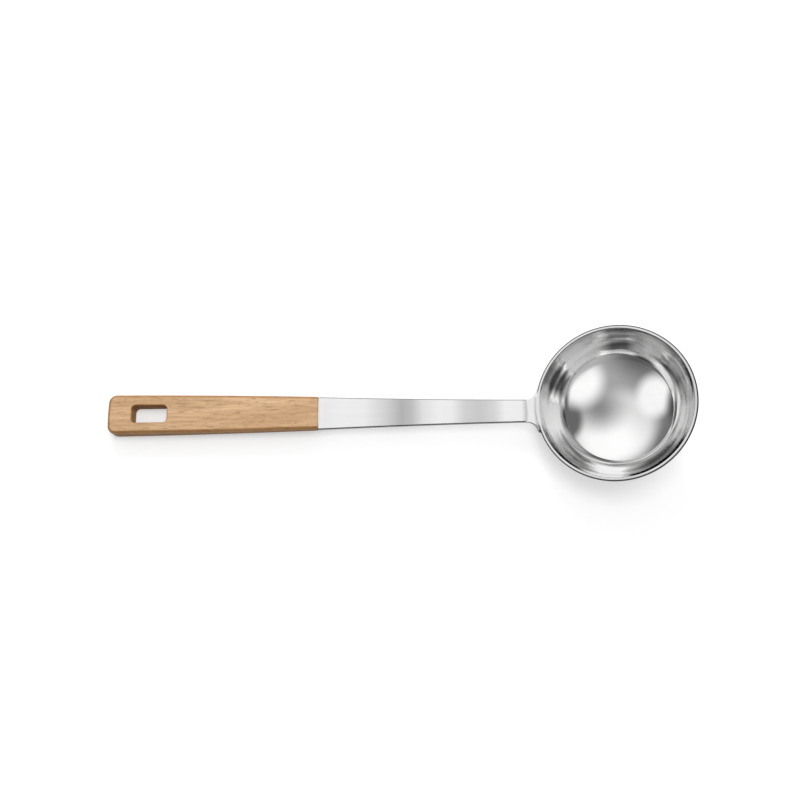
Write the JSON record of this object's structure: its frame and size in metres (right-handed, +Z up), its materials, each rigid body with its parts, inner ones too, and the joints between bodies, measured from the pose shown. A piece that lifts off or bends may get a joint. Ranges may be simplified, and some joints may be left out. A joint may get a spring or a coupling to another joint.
{
  "type": "soup ladle",
  "caption": "Long-handled soup ladle: a round polished steel bowl with a narrow turned lip, a flat tapering stem with a flared foot, and a wooden handle with a hanging slot.",
  "frame": {"origin": "on the table, at the middle of the resting ladle's footprint", "axes": "+X from the handle's tail to the bowl, along the table; +Z up; +Y to the left when looking along +X"},
  "size_m": [0.312, 0.084, 0.0459],
  "materials": {
    "polished_steel": "mirror-polished stainless steel",
    "satin_steel": "stainless steel brushed along the stem",
    "ground_weld": "stainless weld metal, ground and polished smooth",
    "light_wood": "fine straight grain, oiled, satin",
    "cured_adhesive": "cured epoxy, hidden in the wood"
  },
  "bodies": {
    "root": {"bowl": "polished_steel", "stem": "satin_steel", "foot_weld": "ground_weld", "handle": "light_wood", "tang_adhesive": "cured_adhesive"}
  },
  "joints": []
}
